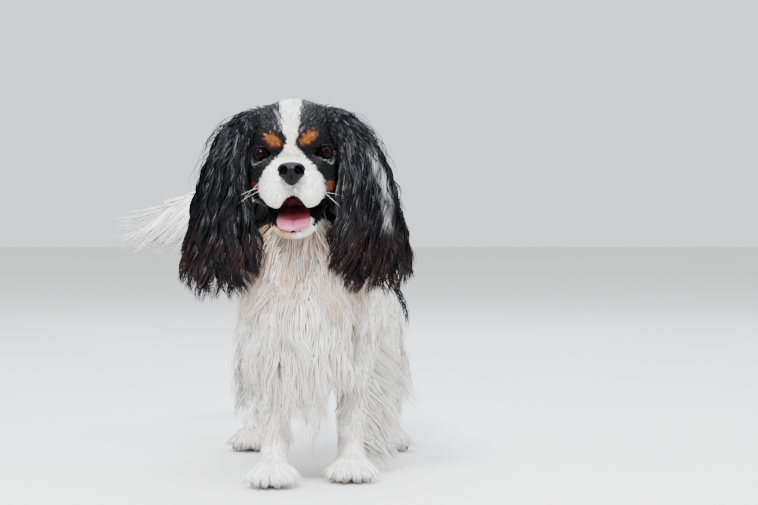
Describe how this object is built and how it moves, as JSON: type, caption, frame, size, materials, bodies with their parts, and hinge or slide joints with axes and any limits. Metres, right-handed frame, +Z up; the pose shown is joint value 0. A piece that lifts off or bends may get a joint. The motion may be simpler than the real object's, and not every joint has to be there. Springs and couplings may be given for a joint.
{
  "type": "cavalier king charles spaniel model",
  "caption": "Life-size still model of a standing tricolour Cavalier King Charles spaniel with long feathered ears, for display or as scene dressing.",
  "frame": {"origin": "on the floor, under the middle of the model's box", "axes": "+Z up; the dog faces -Y and its left side is +X"},
  "size_m": [0.3672, 0.4372, 0.3925],
  "materials": {
    "coat_white": "long silky white hair",
    "coat_black": "glossy black hair with brown tips",
    "nose_leather": "moist black pebbled skin",
    "tongue_flesh": "moist pink",
    "eye_glass": "polished dark brown"
  },
  "bodies": {
    "root": {"head": "coat_black", "jaw": "coat_white", "tongue": "tongue_flesh", "nose": "nose_leather", "eye_right": "eye_glass", "eye_left": "eye_glass", "ear_right": "coat_black", "ear_left": "coat_black", "neck": "coat_white", "trunk": "coat_white", "tail": "coat_white", "foreleg_right": "coat_white", "foreleg_left": "coat_white", "hind_leg_right": "coat_white", "hind_leg_left": "coat_white"}
  },
  "joints": []
}
